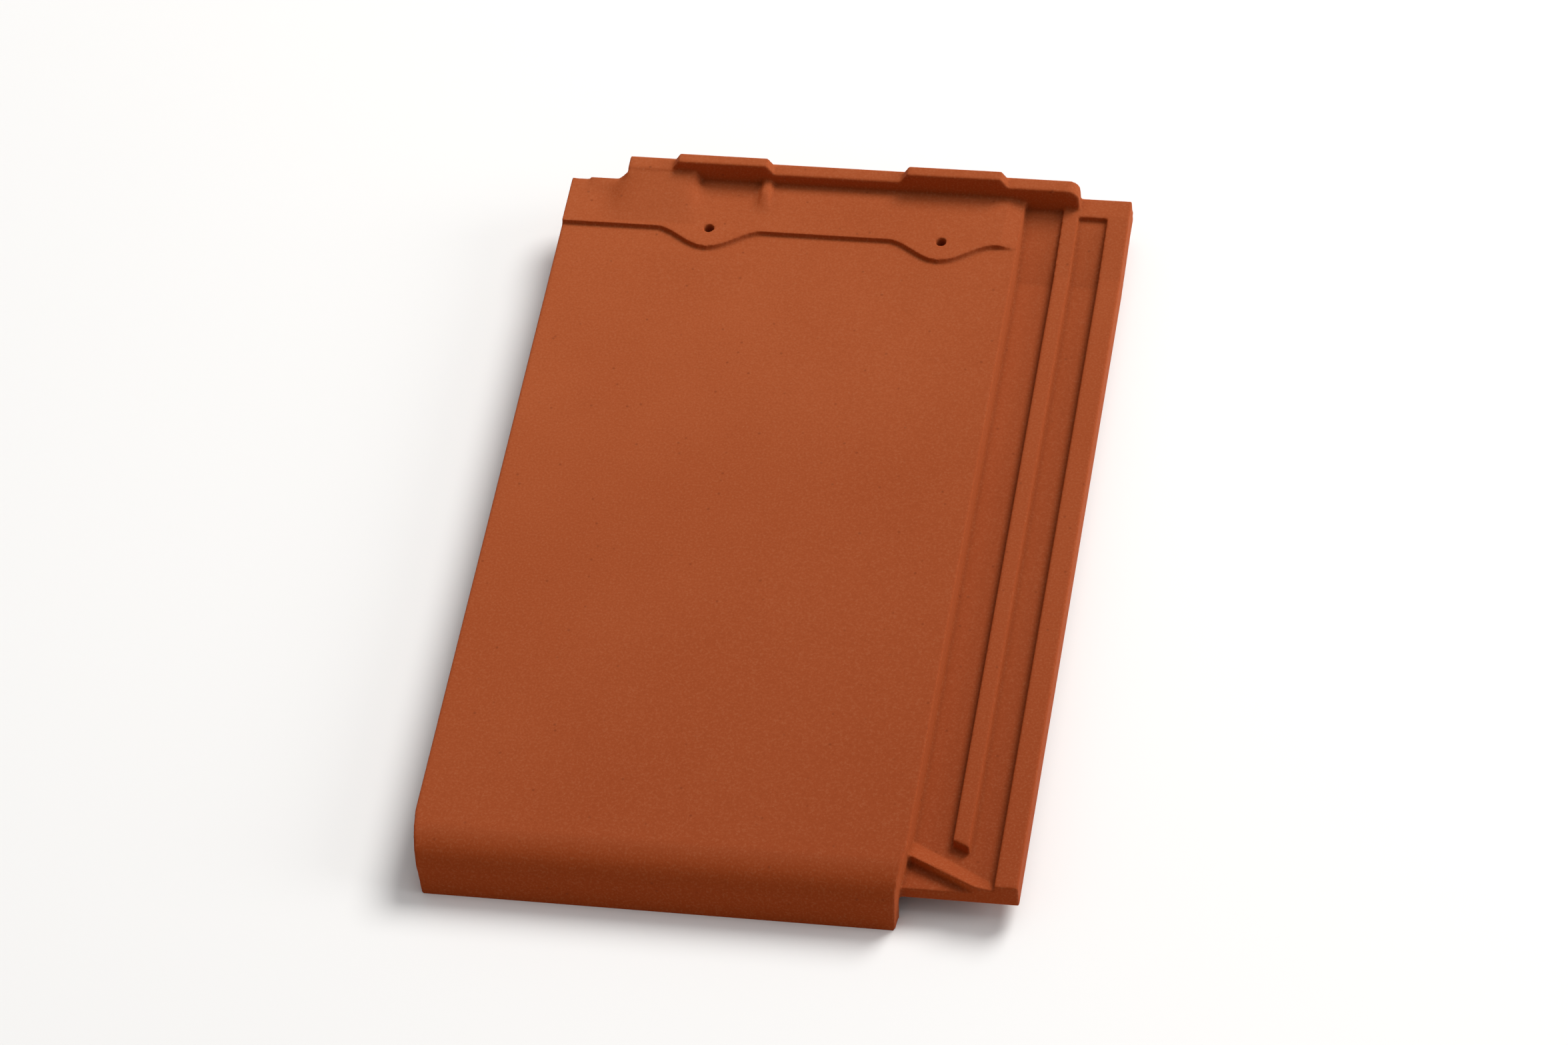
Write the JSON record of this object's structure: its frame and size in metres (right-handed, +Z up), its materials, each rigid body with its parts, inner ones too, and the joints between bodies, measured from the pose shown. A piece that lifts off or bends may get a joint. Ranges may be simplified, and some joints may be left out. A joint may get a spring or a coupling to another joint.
{
  "type": "flat interlocking clay roof tile",
  "caption": "Flat clay roof tile with a rounded drop nose, a head rib with lugs, nail holes, hanging nibs and ribbed side-lock channels.",
  "frame": {"origin": "centre of the bounding box at the floor that the tile lies on", "axes": "+X across the tile towards the side lock, +Y from the nose up to the head, +Z up out of the cover face"},
  "size_m": [0.2726, 0.42, 0.0445],
  "materials": {
    "clay": "matte unglazed fired clay, natural red"
  },
  "bodies": {
    "root": {"roof_tile": "clay"}
  },
  "joints": []
}
